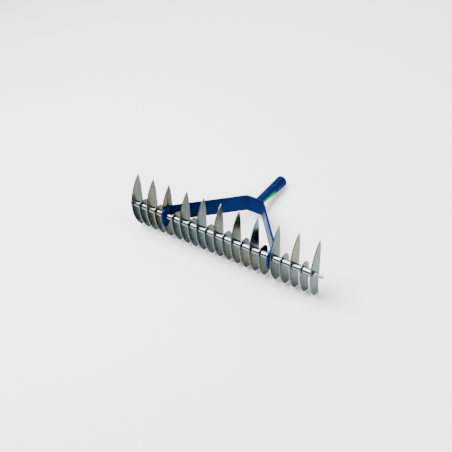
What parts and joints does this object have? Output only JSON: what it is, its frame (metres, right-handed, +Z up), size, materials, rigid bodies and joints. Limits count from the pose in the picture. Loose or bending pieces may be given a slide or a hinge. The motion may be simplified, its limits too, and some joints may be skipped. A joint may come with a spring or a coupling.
{
  "type": "thatch rake head",
  "caption": "Hand thatch rake head: crescent steel blades and spacers on a tie rod, carried by a bent blue yoke with a conical handle socket.",
  "frame": {"origin": "centre of the bounding box at floor level, the head lying on its lower prong ends and the rim of the socket mouth", "axes": "+X along the tie rod, +Y from the blades to the handle socket, +Z up"},
  "size_m": [0.4376, 0.2496, 0.118],
  "materials": {
    "zinc_blade": "zinc plated sheet steel",
    "zinc_bright": "bright zinc plated turned steel",
    "blue_paint": "glossy powder coat",
    "label_green": "gloss film"
  },
  "bodies": {
    "yoke_frame": {"yoke": "blue_paint", "handle_socket": "blue_paint", "weld_bead": "blue_paint", "maker_label": "label_green"},
    "blade_row": {"blade_long_01": "zinc_blade", "blade_short_01": "zinc_blade", "blade_long_02": "zinc_blade", "blade_short_02": "zinc_blade", "blade_long_03": "zinc_blade", "blade_short_03": "zinc_blade", "blade_long_04": "zinc_blade", "blade_short_04": "zinc_blade", "blade_long_05": "zinc_blade", "blade_short_05": "zinc_blade", "blade_long_06": "zinc_blade", "blade_short_06": "zinc_blade", "blade_long_07": "zinc_blade", "blade_short_07": "zinc_blade", "blade_long_08": "zinc_blade", "blade_short_08": "zinc_blade", "blade_long_09": "zinc_blade", "blade_short_09": "zinc_blade", "blade_long_10": "zinc_blade", "blade_short_10": "zinc_blade", "blade_long_11": "zinc_blade", "spacer_01": "zinc_bright", "spacer_02": "zinc_bright", "spacer_03": "zinc_bright", "spacer_04": "zinc_bright", "spacer_05": "zinc_bright", "spacer_06": "zinc_bright", "spacer_07": "zinc_bright", "spacer_08": "zinc_bright", "spacer_09": "zinc_bright", "spacer_10": "zinc_bright", "spacer_11": "zinc_bright", "spacer_12": "zinc_bright", "spacer_13": "zinc_bright", "spacer_14": "zinc_bright", "spacer_15": "zinc_bright", "spacer_16": "zinc_bright", "spacer_17": "zinc_bright", "spacer_18": "zinc_bright", "spacer_19": "zinc_bright", "spacer_20": "zinc_bright", "tie_rod": "zinc_bright", "lock_nut_left": "zinc_bright", "lock_nut_right": "zinc_bright"}
  },
  "joints": [
    {"name": "blade_row_tilt", "type": "hinge", "parent": "yoke_frame", "child": "blade_row", "pos_m": [-0.00475, -0.10918, 0.06398], "axis": [1, 0, 0], "range_deg": [-35, 15]}
  ]
}
